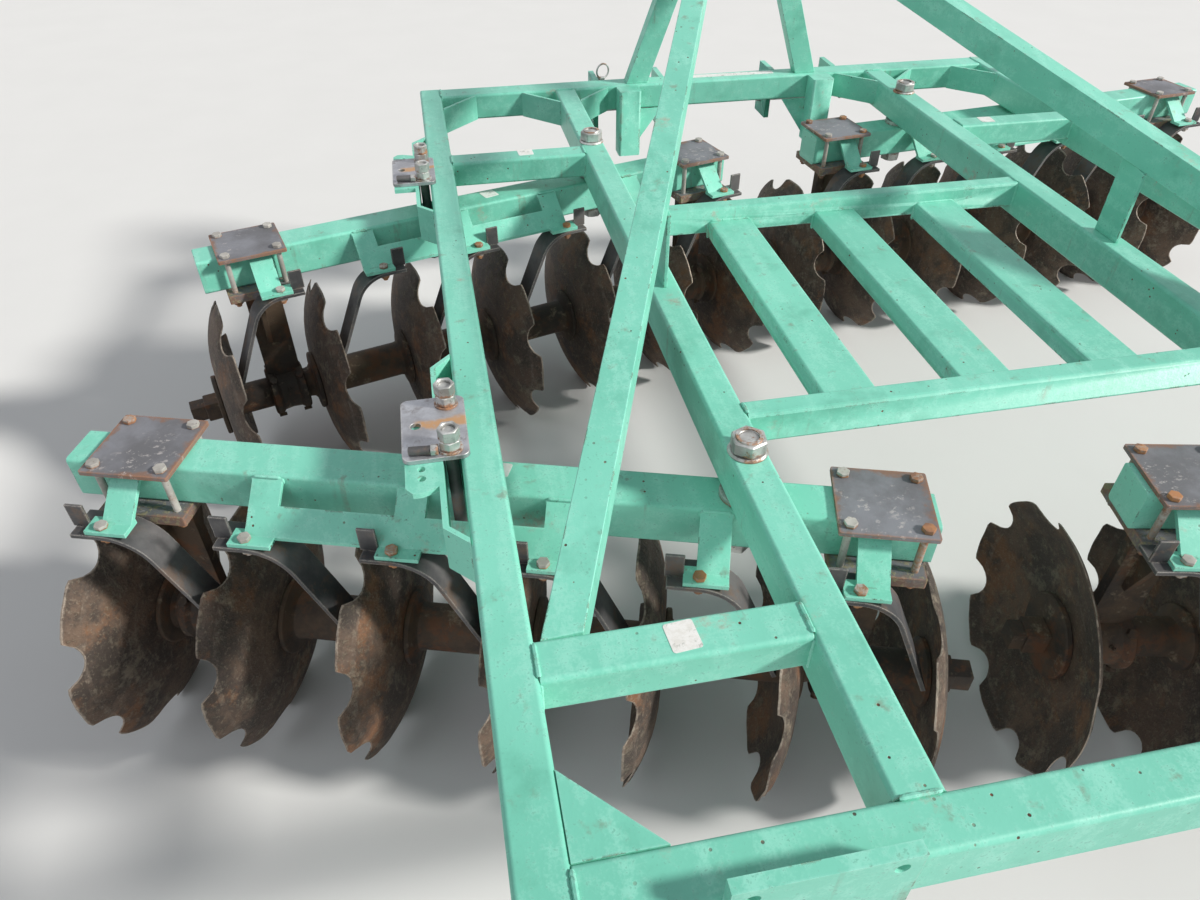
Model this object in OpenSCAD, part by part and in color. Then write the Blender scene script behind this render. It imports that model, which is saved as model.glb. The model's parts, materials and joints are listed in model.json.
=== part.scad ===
// Mounted offset disc harrow: a welded box frame on a three-point hitch carries four gangs of
// seven notched discs. Each gang turns on a pivot bolt under an inner beam and is clamped in a
// slot on the outer beam. Millimetres, Z up, Y forward, X to the right.

/* [Frame] */
// Height of the frame's top face above the ground
frame_top = 750; // [700:1:850]
// Distance of each outer beam's centre from the frame's centre line
outer_x = 881; // [850:1:950]
// Distance of each inner beam's centre from the frame's centre line
inner_x = 488; // [460:1:520]
// Width of the outer, inner and rear beams
beam_w = 60; // [50:1:70]
// Height of the outer, inner and rear beams
beam_h = 80; // [70:1:120]
// Side of the square front beam
front_side = 70; // [60:1:80]
// Front beam's centre to rear beam's centre
frame_length = 2300; // [2250:1:2400]
// Radius of the long edges of every tube
tube_r = 7; // [3:1:12]
// Side of the square cross tubes between outer and inner beams
cross_side = 60; // [50:1:70]
// Front cross tubes behind the front beam
cross_front = 504; // [480:1:560]
// Rear cross tubes ahead of the rear beam
cross_rear = 268; // [220:1:320]
// Thickness of the corner plates
corner_t = 8; // [6:1:12]
// Leg length of each corner plate along the beams
corner_leg = 100; // [60:1:110]
// Radius of the arch under each upright corner plate
corner_arch = 45; // [30:1:50]

/* [Ladder] */
// Width of the two rungs between the inner beams
rung_w = 40; // [30:1:60]
// Height of the two rungs
rung_h = 60; // [50:1:80]
// Front rung behind the front beam
rung_front = 880; // [800:1:950]
// Rear rung ahead of the rear beam
rung_rear = 684; // [600:1:800]
// Width of the three bars between the rungs
bar_w = 100; // [60:1:120]
// Height of the three bars
bar_h = 40; // [20:1:50]
// Distance between neighbouring bars' centres
bar_pitch = 252; // [180:1:280]
// Depth of the bars' tops below the frame's top
bar_drop = 30; // [10:1:40]

/* [Mast and hitch] */
// Distance of each mast leg's foot from the centre line
mast_foot_x = 267; // [220:1:300]
// Distance of each mast leg's head from the centre line
mast_head_x = 66; // [60:1:90]
// Width of a mast leg seen from behind
leg_w = 60; // [40:1:70]
// Depth of a mast leg fore and aft
leg_d = 40; // [30:1:60]
// Top-link hole above the lower hitch pins
mast_height = 610; // [560:1:660]
// Top-link hole diameter
top_hole_d = 26; // [19:0.5:32]
// Clear width between the top-link ears
ear_gap = 54; // [44:1:60]
// Thickness of the top-link ears and head plate
ear_t = 15; // [10:1:20]
// Lower hitch pins below the frame's top
pin_drop = 100; // [80:1:120]
// Diameter of the lower hitch pins
pin_d = 28; // [22:0.5:36]
// Hitch pins ahead of the front beam's front face
pin_ahead = 55; // [45:1:80]
// Outer lug's centre from the centre line
lug_outer_x = 382; // [360:1:410]
// Inner lug's centre from the centre line
lug_inner_x = 179; // [150:1:220]
// Thickness of the hitch lugs
lug_t = 15; // [10:1:20]
// Free length of each hitch pin outside its outer lug
pin_free = 75; // [65:1:100]
// Width of the braces from mast to rear cross tubes
brace_w = 50; // [30:1:60]
// Depth of the braces
brace_d = 60; // [40:1:70]
// Strut plates behind the front beam
strut_back = 1187; // [1000:1:1300]
// Width of the strut plates fore and aft
strut_w = 70; // [50:1:90]
// Thickness of the strut plates
strut_t = 8; // [6:1:15]

/* [Gang beams] */
// Side of the square gang beams
gang_side = 80; // [70:1:90]
// Gang's middle to its beam's outer end
gang_outer = 720; // [700:1:750]
// Gang's middle to its beam's inner end
gang_inner = 684; // [680:1:750]
// Gap between the frame's underside and a gang beam
gang_gap = 10; // [5:1:15]
// Pivot bolt diameter
pivot_d = 30; // [24:1:36]
// Radial clearance of the pivot bolts in the gang beams
pivot_play = 0.3; // [0.1:0.1:0.5]
// Distance from a scraper's bracket to the middle of the clamp plates round it
hanger_aside = 15; // [5:1:20]
// Side of the clamp plates
plate_side = 150; // [140:1:170]
// Thickness of the upper clamp plates
plate_t = 8; // [6:1:12]
// Thickness of the lower clamp plates
low_plate_t = 20; // [10:1:25]

/* [Disc gangs] */
// Disc diameter
disc_d = 510; // [460:2:560]
// Disc thickness
disc_t = 5; // [4:0.5:8]
// Depth of a disc's dish
dish = 52; // [40:1:60]
// Radius of the flat centre of a disc
disc_flat_r = 86; // [70:1:90]
// Notches round a disc
notches = 8; // [6:1:10]
// Radius of a notch
notch_r = 50; // [30:1:55]
// Depth of a notch from the rim
notch_depth = 32; // [15:1:40]
// Distance between neighbouring discs
disc_pitch = 240; // [230:1:250]
// Middle of a gang to its last disc's hub on the side that the discs' backs face
back_reach = 755; // [735:1:765]
// Side of the square axle
axle_side = 40; // [30:1:44]
// Radius of a plain spool
spool_r = 45; // [35:1:55]
// Radius of the spool flange behind a disc
flange_r = 75; // [55:1:80]
// Thickness of the spool flanges
flange_t = 12; // [8:1:16]
// Radius of the journal in a bearing
journal_r = 38; // [30:1:44]
// Radial clearance of a journal in its bearing
journal_play = 0.3; // [0.1:0.1:0.5]
// Length of a bearing housing along the axle
housing_l = 90; // [60:1:100]
// Outer radius of a bearing housing
housing_r = 62; // [55:1:75]

/* [Scrapers] */
// Width of a scraper blade
blade_w = 60; // [40:1:70]
// Thickness of a scraper blade
blade_t = 8; // [5:1:10]
// Bend radius of a scraper blade
blade_bend = 85; // [70:1:95]
// Angle through which a scraper blade bends down
blade_angle = 66; // [60:1:75]
// Start of the blade's bend to the plane of the disc's rim
blade_gap = 140; // [130:1:150]
// Length of the straight stretch below a blade's bend
blade_drop = 165; // [60:1:170]
// Scraper bracket's middle to the hub of the disc that it serves
station_back = 170; // [165:1:180]
// Blade tail's length behind its bracket
blade_tail = 70; // [50:1:90]
// Width of a scraper bracket
bracket_w = 50; // [40:1:60]
// Thickness of a scraper bracket
bracket_t = 8; // [5:1:10]
// Bracket's landing on its foot behind the gang beam's rear face
bracket_back = 72; // [60:1:90]
// Underside of the brackets' feet below the frame's top
bracket_drop = 165; // [155:1:170]

/* [Gang locks] */
// Width of the slot beside an outer beam
slot_gap = 27; // [24:1:34]
// Slot's end beyond the line across the frame through the pivot
slot_past = 76; // [70:1:90]
// Thickness of the bent slot bar
slot_bar_t = 8; // [6:1:12]
// Diameter of the lock bolts
lock_bolt_d = 20; // [16:1:22]
// Distance between a lock's two bolts
lock_bolt_pitch = 112; // [110:1:116]
// Thickness of the lock plates
lock_t = 8; // [6:1:12]
// Width of the index plate outside the slot bar
index_w = 48; // [40:1:60]

/* [Rear brackets] */
// Length of each rear bracket
rear_plate_l = 190; // [170:1:220]
// Distance of each rear bracket's middle from the centre line
rear_plate_x = 623; // [580:1:660]
// Rear bracket's top above the frame's top
rear_plate_up = 44; // [38:1:60]
// Thickness of a rear bracket
rear_plate_t = 15; // [10:1:20]
// Distance between a rear bracket's two holes
rear_hole_pitch = 146; // [120:1:150]
// Diameter of the holes in a rear bracket
rear_hole_d = 16; // [12:1:20]

/* [Place on the ground] */
// Front beam's centre ahead of the part's origin
front_y = 1098; // [1000:1:1300]
// Frame's centre line left of the part's origin
centre_x = 6; // [0:1:60]

/* [Hidden] */
$fn = 48;

// One row a gang: side of the frame, pivot behind the front beam, angle of the gang beam,
// middle of the gang outward of its pivot, the way the discs' hollow faces look, slot's length
SIDE = 0;
BACK = 1;
ANGLE = 2;
OUTWARD = 3;
HOLLOW = 4;
SLOT = 5;
gangs = [
    [-1,                452,  15.9, 287,  1, 386],
    [ 1,                242,   7.0, 390,  1, 314],
    [ 1, frame_length - 428, -12.0, 338, -1, 386],
    [-1, frame_length - 583, -17.5, 382, -1, 386]
];

axle_z = disc_d / 2;
frame_bottom = frame_top - beam_h;
gang_top = frame_bottom - gang_gap;
gang_bottom = gang_top - gang_side;
front_half = front_side / 2;
dish_rho = (pow(disc_d / 2 - disc_flat_r, 2) + dish * dish) / (2 * dish);
top_hole_z = frame_top - pin_drop + mast_height;
seat = 0.3;
bolt_hole = 0.5;
disc_count = 7;
brace_inset = 35;
end_plate_r = 82;
nut_side = 50;
nut_l = 45;
foot_l = 36;
foot_w = 70;
rail_w = 38;

// Paint and steel
green = [0.33, 0.80, 0.63];
rust = [0.34, 0.22, 0.16];
dark = [0.14, 0.13, 0.12];
zinc = [0.62, 0.63, 0.62];

// Moves from the frame's own place, front beam's centre on the ground, to the part's origin
module on_ground() translate([-centre_x, front_y, 0]) children();

// Rounded tube section, its top edge on the X axis
module section(w, h, r = tube_r) {
    translate([-w / 2 + r, -h]) square([w - 2 * r, h]);
    translate([-w / 2, -h + r]) square([w, h - 2 * r]);
    for (x = [-w / 2 + r, w / 2 - r], y = [-h + r, -r]) translate([x, y]) circle(r);
}

// Tube along Y from y0 to y1 with its top face at z
module tube_y(x, y0, y1, z, w, h)
    translate([x, y1, z]) rotate([90, 0, 0]) linear_extrude(y1 - y0) section(w, h);

// Tube along X from x0 to x1 with its top face at z
module tube_x(x0, x1, y, z, w, h)
    translate([x0, y, z]) rotate([90, 0, 90]) linear_extrude(x1 - x0) section(w, h);

// Hexagonal nut, flats across af, standing on z = 0
module hex(af, h) cylinder(d = af / cos(30), h = h, $fn = 6);

// Part of gang k, in the gang's own place: its middle under the beam, X along the beam
module at_gang(k) {
    g = gangs[k - 1];
    on_ground() translate([g[SIDE] * inner_x, -g[BACK], 0]) rotate([0, 0, g[ANGLE]])
        translate([g[SIDE] * g[OUTWARD], 0, 0]) children();
}

// Side beams
module outer_beam(side) color(green) on_ground()
    tube_y(side * outer_x, -frame_length - beam_w / 2, front_half, frame_top, beam_w, beam_h);

module inner_beam(side) color(green) on_ground() difference() {
    tube_y(side * inner_x, -frame_length + beam_w / 2, -front_half, frame_top, beam_w, beam_h);
    for (g = gangs) if (g[SIDE] == side)
        translate([side * inner_x, -g[BACK], frame_bottom - 1])
            cylinder(d = pivot_d + 2 * bolt_hole, h = beam_h + 2);
}

// Front and rear beams between the outer beams
module front_beam() color(green) on_ground()
    tube_x(-outer_x + beam_w / 2, outer_x - beam_w / 2, 0, frame_top, front_side, front_side);

module rear_beam() color(green) on_ground()
    tube_x(-outer_x + beam_w / 2, outer_x - beam_w / 2, -frame_length, frame_top, beam_w, beam_h);

// Short square tubes between outer and inner beams
module cross_tubes() color(green) on_ground()
    for (back = [cross_front, frame_length - cross_rear]) {
        tube_x(-outer_x + beam_w / 2, -inner_x - beam_w / 2, -back, frame_top, cross_side, cross_side);
        tube_x(inner_x + beam_w / 2, outer_x - beam_w / 2, -back, frame_top, cross_side, cross_side);
    }

// Two rungs between the inner beams and three flat bars between the rungs
module ladder() color(green) on_ground() {
    rear = frame_length - rung_rear;
    for (back = [rung_front, rear])
        tube_x(-inner_x + beam_w / 2, inner_x - beam_w / 2, -back, frame_top, rung_w, rung_h);
    for (n = [-1:1])
        tube_y(n * bar_pitch, -rear + rung_w / 2, -rung_front - rung_w / 2,
               frame_top - bar_drop, bar_w, bar_h);
}

// Upright plate across a corner at (x, y), opening towards (sx, sy), arched below, h high
module corner_plate(x, y, sx, sy, h) {
    leg = corner_leg;
    t = corner_t * sqrt(2);
    translate([x, y, frame_top - h]) difference() {
        linear_extrude(h)
            polygon([[sx * leg, 0], [sx * (leg - t), 0], [0, sy * (leg - t)], [0, sy * leg]]);
        translate([sx * leg / 2, sy * leg / 2, 0]) rotate([90, 0, atan2(sy, sx) + 90])
            cylinder(r = corner_arch, h = leg, center = true);
    }
}

module corner_plates() color(green) on_ground() {
    front = -front_half;
    rear = -frame_length + beam_w / 2;
    for (s = [-1, 1]) {
        corner_plate(s * (outer_x - beam_w / 2), front, -s, -1, front_side);
        corner_plate(s * (inner_x + beam_w / 2), front, s, -1, front_side);
        corner_plate(s * (inner_x - beam_w / 2), front, -s, -1, front_side);
        translate([s * (outer_x - beam_w / 2), rear, frame_top - tube_r - corner_t])
            linear_extrude(corner_t) polygon([[0, 0], [-s * corner_leg, 0], [0, corner_leg]]);
    }
}

// Mast legs lean towards each other; feet are cut level, heads end against the head plate's ears
leg_rise = top_hole_z + 35 - frame_top;
leg_lean = atan((mast_foot_x - mast_head_x) / leg_rise);

module mast_leg(side) color(green) on_ground() intersection() {
    translate([side * mast_foot_x, 0, frame_top]) rotate([0, -side * leg_lean, 0])
        translate([-leg_w / 2, -leg_d / 2, -60]) cube([leg_w, leg_d, leg_rise * 1.3]);
    translate([-inner_x, -front_side, frame_top]) cube([2 * inner_x, 2 * front_side, leg_rise]);
    translate([side > 0 ? ear_gap / 2 + ear_t : -inner_x, -front_side, frame_top])
        cube([inner_x - ear_gap / 2 - ear_t, 2 * front_side, leg_rise]);
}

// Ears for the top link, joined behind by the head plate that the braces meet
head_half = mast_head_x + leg_w / 2 + 30;
head_h = 110;
module mast_head() color(green) on_ground() {
    ear_front = leg_d / 2 + 75;
    difference() {
        for (s = [-1, 1])
            translate([s * (ear_gap + ear_t) / 2, 0, top_hole_z]) rotate([0, 90, 0])
                translate([0, 0, -ear_t / 2]) linear_extrude(ear_t) {
                    translate([-35, -leg_d / 2]) square([head_h, leg_d + 40]);
                    translate([0, ear_front - 35]) circle(35);
                    translate([-35, 0]) square([70, ear_front - 35]);
                }
        translate([-head_half, ear_front - 35, top_hole_z]) rotate([0, 90, 0])
            cylinder(d = top_hole_d, h = 2 * head_half);
    }
    translate([-head_half, -leg_d / 2 - ear_t, top_hole_z + 35 - head_h])
        cube([2 * head_half, ear_t, head_h]);
}

// Braces from the head plate down to the rear cross tubes
brace_foot = [outer_x - beam_w / 2 - brace_inset, cross_side / 2 + cross_rear - frame_length,
              frame_top - brace_d / 2 - 1];
brace_head = [mast_head_x, -leg_d / 2 - ear_t, top_hole_z - 20];
brace_run = brace_head - brace_foot;
brace_plan = norm([brace_run[0], brace_run[1]]);
brace_turn = atan2(-brace_run[0], brace_run[1]);
brace_rise = atan2(brace_run[2], brace_plan);

// Places children along the right-hand brace, Y along it
module along_brace() translate(brace_foot) rotate([0, 0, brace_turn]) rotate([brace_rise, 0, 0]) children();

module brace(side) color(green) on_ground() mirror([side > 0 ? 0 : 1, 0, 0]) intersection() {
    along_brace() translate([-brace_w / 2, -brace_d, -brace_d / 2])
        cube([brace_w, norm(brace_run) + 2 * brace_d, brace_d]);
    translate([-outer_x, brace_foot[1], frame_bottom])
        cube([2 * outer_x, brace_head[1] - brace_foot[1], leg_rise * 1.5]);
}

// Flat struts standing on the inner beams, up to the braces' undersides
strut_front = -strut_back + strut_w / 2;
strut_h = brace_foot[2] - frame_top + (strut_front - brace_foot[1]) * brace_run[2] / brace_run[1];
module strut_plates() color(green) on_ground() for (side = [-1, 1])
    mirror([side > 0 ? 0 : 1, 0, 0]) difference() {
        translate([inner_x - strut_t / 2, strut_front - strut_w, frame_top])
            cube([strut_t, strut_w, strut_h]);
        along_brace() translate([-brace_w, 0, -brace_d / 2])
            cube([2 * brace_w, norm(brace_run), brace_d]);
    }

// Lugs ahead of the front beam and the box brackets behind it
bracket_x = 302;
box_w = 65;
box_d = 60;
box_l = 190;
lug_low = frame_top - pin_drop - 50;
module hitch_lugs() color(green) on_ground() {
    front = front_half;
    for (s = [-1, 1]) {
        for (x = [lug_outer_x, lug_inner_x]) difference() {
            translate([s * x - lug_t / 2, front, lug_low])
                cube([lug_t, pin_ahead + 35, frame_top - lug_low]);
            translate([s * x - lug_t, front + pin_ahead, frame_top - pin_drop]) rotate([0, 90, 0])
                cylinder(d = pin_d + 2 * bolt_hole, h = 2 * lug_t);
        }
        translate([s * bracket_x, -front_half - box_d / 2, frame_top]) rotate([180, 0, 0])
            linear_extrude(box_l) translate([0, box_d / 2]) section(box_w, box_d);
        translate([s * (bracket_x - box_w / 2), -front_half, frame_top - front_side]) rotate([90, 0, 0])
            linear_extrude(corner_t) polygon([[0, 0], [-s * 75, 0], [0, -100]]);
    }
}

module hitch_pins() color(zinc) on_ground() for (s = [-1, 1]) {
    inner = lug_inner_x - lug_t / 2 - 15;
    outer = lug_outer_x + lug_t / 2 + pin_free;
    translate([s * inner, front_half + pin_ahead, frame_top - pin_drop]) rotate([0, s * 90, 0]) {
        cylinder(d = pin_d, h = outer - inner);
        translate([0, 0, lug_outer_x + lug_t / 2 - inner]) cylinder(d = pin_d + 14, h = 10);
    }
}

// Upright plates for a rear roller, bolted on through two holes each
module rear_brackets() color(green) on_ground() for (s = [-1, 1]) difference() {
    translate([s * rear_plate_x - rear_plate_l / 2, -frame_length - beam_w / 2 - rear_plate_t,
               frame_top - 60])
        cube([rear_plate_l, rear_plate_t, 60 + rear_plate_up]);
    for (n = [-1, 1])
        translate([s * rear_plate_x + n * rear_hole_pitch / 2,
                   -frame_length - beam_w / 2 - rear_plate_t - 1, frame_top + rear_plate_up - 20])
            rotate([-90, 0, 0]) cylinder(d = rear_hole_d, h = rear_plate_t + 2);
}

// Place of lock k: in the slot, where the gang beam crosses it
slot_x = outer_x + beam_w / 2 + slot_gap / 2;
function cross_y(g) = -g[BACK] + g[SIDE] * (slot_x - inner_x) * tan(g[ANGLE]);
// Middle of the slot, which reaches from the pivot's line the way the gang beam swings
function swing(g) = sign(g[SIDE] * g[ANGLE]);
function slot_y(g) = -g[BACK] + swing(g) * (g[SLOT] / 2 - slot_past);
index_t = 10;
index_l = 210;
index_first = 30;
index_pitch = 21;
index_holes = 8;
index_hole_d = 12;

// Bent bars that form the slots, with the drilled index plates outside them
module slot_bars() color(green) on_ground() for (g = gangs) {
    s = g[SIDE];
    face = outer_x + beam_w / 2;
    half = g[SLOT] / 2;
    out = slot_gap + slot_bar_t;
    translate([s * face, slot_y(g), frame_bottom]) linear_extrude(beam_h) difference() {
        polygon([[0, -half - 36], [s * out, -half], [s * out, half], [0, half + 36]]);
        polygon([[0, -half - 25], [s * slot_gap, -half + 3], [s * slot_gap, half - 3], [0, half + 25]]);
    }
    // Index plate from the pivot's line on, its end cut to a blunt point
    translate([s * (face + out), -g[BACK], frame_top]) mirror([0, swing(g) > 0 ? 0 : 1, 0])
        rotate([180, 0, 0]) mirror([0, 1, 0]) linear_extrude(index_t) difference() {
            polygon([[0, 10], [s * index_w / 2, 0], [s * (index_w - 10), 0], [s * index_w, 12],
                     [s * index_w, index_l], [0, index_l]]);
            for (n = [0:index_holes - 1])
                translate([s * index_w / 2, index_first + n * index_pitch]) circle(d = index_hole_d);
        }
}

// Pivot bolts through inner beams and gang beams, with the spacer washers between them
module pivot_bolts() color(zinc) on_ground() for (g = gangs)
    translate([g[SIDE] * inner_x, -g[BACK], 0]) {
        translate([0, 0, gang_bottom - 40]) cylinder(d = pivot_d, h = frame_top + 38 - gang_bottom + 40);
        translate([0, 0, frame_top]) cylinder(d = 56, h = 5);
        translate([0, 0, frame_top + 5]) hex(46, 26);
        translate([0, 0, gang_top + seat]) cylinder(d = 70, h = gang_gap - seat);
        translate([0, 0, gang_bottom - seat - 5]) cylinder(d = 56, h = 5);
        translate([0, 0, gang_bottom - seat - 31]) hex(46, 26);
    }

// Gang beam with the pivot hole
module gang_beam(k) color(green) {
    g = gangs[k - 1];
    at_gang(k) difference() {
        mirror([g[SIDE] > 0 ? 0 : 1, 0, 0])
            tube_x(-gang_inner, gang_outer, 0, gang_top, gang_side, gang_side);
        translate([-g[SIDE] * g[OUTWARD], 0, gang_bottom - 1])
            cylinder(d = pivot_d + 2 * pivot_play, h = gang_side + 2);
    }
}

// Clamp plates, their bolts, and the legs down to the bearing housings
bolt_in = 18;
clamp_bolt_d = 12;
clamp_bolt_af = 19;
clamp_bolt_head = 8;
clamp_bolt_low = 16;

// Middle of a gang's left or right hanger, beside its first or last scraper station
function hanger_x(k, s) = let (way = -gangs[k - 1][HOLLOW], n = s * way < 0 ? disc_count - 2 : 0)
    way * (station_x(n) + hanger_aside);

module gang_hangers(k) color(rust) at_gang(k) for (s = [-1, 1]) translate([hanger_x(k, s), 0, 0]) {
    side = plate_side;
    translate([-side / 2, -side / 2, gang_top]) cube([side, side, plate_t]);
    translate([-side / 2, -side / 2, gang_bottom - low_plate_t]) cube([side, side, low_plate_t]);
    for (x = [-1, 1], y = [-1, 1])
        translate([x * (side / 2 - bolt_in), y * (side / 2 - bolt_in), gang_top + plate_t]) {
            reach = gang_side + plate_t + low_plate_t;
            hex(clamp_bolt_af, clamp_bolt_head);
            translate([0, 0, -reach - clamp_bolt_low]) cylinder(d = clamp_bolt_d, h = reach + clamp_bolt_low);
            translate([0, 0, -reach - 10]) hex(clamp_bolt_af, 10);
        }
    difference() {
        union() {
            translate([-40, -12, axle_z]) cube([80, 24, gang_bottom - low_plate_t - axle_z]);
            translate([-housing_l / 2, 0, axle_z]) rotate([0, 90, 0]) cylinder(r = housing_r, h = housing_l);
        }
        translate([-housing_l, 0, axle_z]) rotate([0, 90, 0])
            cylinder(r = journal_r + journal_play, h = 2 * housing_l);
    }
}

// Scraper stations, in a gang whose discs' backs look along +X: number n serves disc n
bracket_z = frame_top - bracket_drop;
bracket_top = gang_top - 4;
bracket_slope = (bracket_top - bracket_z - bracket_t) / bracket_back;
blade_front = -gang_side / 2 - bracket_back + foot_l;
function station_x(n) = hub_x(n) - station_back;

// One bracket of the right-hand rear gang stands aside, clear of the lock's bolts
function aside(k, n) = k == 3 && n == 2 ? 60 : 0;

// Section of a bar that slopes down behind the beam, between two distances from its rear face
module sloping(near, far, t, low) intersection() {
    across = t * norm([1, bracket_slope]);
    polygon([[-near, bracket_top - near * bracket_slope], [-far, bracket_top - far * bracket_slope],
             [-far, bracket_top - far * bracket_slope - across],
             [-near, bracket_top - near * bracket_slope - across]]);
    translate([-far, low]) square([far, bracket_top - low]);
}

// Sloping flat bars on level feet, and the rail that joins the second to the fourth
module gang_brackets(k) color(green) facing(k) {
    rear = -gang_side / 2;
    railed = gangs[k - 1][HOLLOW] > 0 ? [1:3] : [2:4];
    for (n = [0:disc_count - 2]) translate([station_x(n) - aside(k, n), rear, 0]) {
        translate([-bracket_w / 2, 0, 0]) rotate([90, 0, 90]) linear_extrude(bracket_w)
            sloping(0, bracket_back + foot_l, bracket_t, bracket_z);
        translate([bracket_w / 2 - foot_w, -bracket_back - foot_l * 0.6, bracket_z])
            cube([foot_w, foot_l, bracket_t]);
    }
    low = min([for (n = railed) station_x(n) - aside(k, n)]);
    high = max([for (n = railed) station_x(n) - aside(k, n)]);
    translate([low, rear, 0]) rotate([90, 0, 90]) linear_extrude(high - low)
        sloping(bracket_back - rail_w, bracket_back, bracket_t - 1, bracket_z + 1);
}

// Blades bolted under the brackets' feet, bent down into the hollow of the discs
module gang_scrapers(k) color(dark) facing(k) for (n = [0:disc_count - 2])
    translate([station_x(n), blade_front, bracket_z]) rotate([90, 0, 0]) linear_extrude(blade_w)
        blade_profile(max(blade_tail, aside(k, n) + foot_w - bracket_w / 2));

// Blade seen from the side: level tail, bend in six-degree steps and straight tip
module blade_profile(tail) {
    level = station_back - dish - blade_gap;
    steps = round(blade_angle / 6);
    along = [for (n = [0:steps]) [sin(n * blade_angle / steps), cos(n * blade_angle / steps)]];
    tip = blade_drop * [cos(blade_angle), -sin(blade_angle)];
    centre = [level, -blade_bend];
    inner_r = blade_bend - blade_t;
    polygon(concat(
        [[-tail, 0]], [for (a = along) centre + blade_bend * a],
        [centre + blade_bend * along[steps] + tip, centre + inner_r * along[steps] + tip],
        [for (n = [steps:-1:0]) centre + inner_r * along[n]], [[-tail, -blade_t]]));
}

// Plate with rounded corners, centred on the Z axis and standing on z = 0
module rounded_plate(w, l, t, r) linear_extrude(t) {
    square([w, l - 2 * r], center = true);
    square([w - 2 * r, l], center = true);
    for (x = [-1, 1], y = [-1, 1]) translate([x * (w / 2 - r), y * (l / 2 - r)]) circle(r);
}

upper_in = 28;
upper_out = 72;
upper_l = 150;
lower_w = 60;
lower_l = 140;

// Clamp that holds a gang beam in its slot: two long bolts between an upper and a lower plate
module lock(k) color(zinc) {
    g = gangs[k - 1];
    low = gang_bottom - seat - lock_t;
    high = frame_top + seat + lock_t;
    head = 13;
    nut = 40;
    on_ground() translate([g[SIDE] * slot_x, cross_y(g), 0]) mirror([g[SIDE] > 0 ? 0 : 1, 0, 0]) {
        translate([(upper_out - upper_in) / 2, 0, high - lock_t])
            rounded_plate(upper_in + upper_out, upper_l, lock_t, 12);
        translate([0, 0, low]) rounded_plate(lower_w, lower_l, lock_t, 14);
        for (n = [-1, 1]) translate([0, n * lock_bolt_pitch / 2, low - head]) {
            cylinder(d = lock_bolt_d, h = high + nut - low + head);
            hex(26, head);
            translate([0, 0, high - low + head]) hex(30, nut);
        }
    }
}

// Dished disc: flat centre, rim turned towards +Z, hollow face at z = 0 in the middle
module disc_profile() {
    translate([0, -disc_t]) square([disc_flat_r, disc_t]);
    intersection() {
        translate([disc_flat_r, dish_rho]) difference() {
            circle(dish_rho + disc_t, $fn = 180);
            circle(dish_rho, $fn = 180);
        }
        translate([disc_flat_r, -disc_t]) square([disc_d / 2 - disc_flat_r, dish + disc_t]);
    }
}

module disc() difference() {
    rotate_extrude($fn = 96) disc_profile();
    translate([0, 0, -disc_t - 1]) linear_extrude(disc_t + 2) square(axle_side + 2 * seat, center = true);
    for (n = [0:notches - 1]) rotate([0, 0, (n + 0.5) * 360 / notches])
        translate([disc_d / 2 + notch_r - notch_depth, 0, -disc_t - 1])
            cylinder(r = notch_r, h = dish + 2 * disc_t);
}

// Hub places from the backmost disc on; backs look along +X before any mirror
function hub_x(n) = back_reach - n * disc_pitch;

// Turns a gang so that its discs' backs look the right way
module facing(k) at_gang(k) mirror([gangs[k - 1][HOLLOW] > 0 ? 1 : 0, 0, 0]) children();

module axle_discs(k) color(rust) facing(k) translate([0, 0, axle_z])
    for (n = [0:disc_count - 1]) translate([hub_x(n), 0, 0]) rotate([0, -90, 0]) disc();

// Square axle with spools clamped between the discs, journals in the bearings, end plates and nuts
module axle_spools(k) color(dark) facing(k) translate([0, 0, axle_z]) {
    long = disc_pitch - disc_t;
    end_plate = 14;
    first = hub_x(disc_count - 1);
    last = hub_x(0);
    translate([first - end_plate - 70, -axle_side / 2, -axle_side / 2])
        cube([last - first + 2 * end_plate + 140, axle_side, axle_side]);
    for (n = [1:disc_count - 1]) translate([hub_x(n) + disc_t, 0, 0]) rotate([0, 90, 0]) {
        bearing = n == 1 || n == disc_count - 1;
        cylinder(r = flange_r, h = flange_t);
        cylinder(r = bearing ? journal_r : spool_r, h = long);
        translate([0, 0, long - flange_t]) cylinder(r = flange_r - 12, h = flange_t);
    }
    translate([last + disc_t, 0, 0]) rotate([0, 90, 0]) {
        cylinder(r = flange_r, h = flange_t);
        cylinder(r1 = 50, r2 = 40, h = 45);
    }
    translate([first - end_plate, 0, 0]) rotate([0, 90, 0]) cylinder(r = end_plate_r, h = end_plate);
    translate([first - end_plate - nut_l, -nut_side / 2, -nut_side / 2]) cube([nut_l, nut_side, nut_side]);
}

outer_beam(-1);  // outer_beam_left
outer_beam(1);  // outer_beam_right
inner_beam(-1);  // inner_beam_left
inner_beam(1);  // inner_beam_right
front_beam();
rear_beam();
cross_tubes();
ladder();
corner_plates();
mast_leg(-1);  // mast_leg_left
mast_leg(1);  // mast_leg_right
mast_head();
brace(-1);  // brace_left
brace(1);  // brace_right
strut_plates();
hitch_lugs();
hitch_pins();
rear_brackets();
slot_bars();
pivot_bolts();
gang_beam(1);  // gang_1_beam
gang_hangers(1);  // gang_1_hangers
gang_brackets(1);  // gang_1_brackets
gang_scrapers(1);  // gang_1_scrapers
gang_beam(2);  // gang_2_beam
gang_hangers(2);  // gang_2_hangers
gang_brackets(2);  // gang_2_brackets
gang_scrapers(2);  // gang_2_scrapers
gang_beam(3);  // gang_3_beam
gang_hangers(3);  // gang_3_hangers
gang_brackets(3);  // gang_3_brackets
gang_scrapers(3);  // gang_3_scrapers
gang_beam(4);  // gang_4_beam
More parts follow.
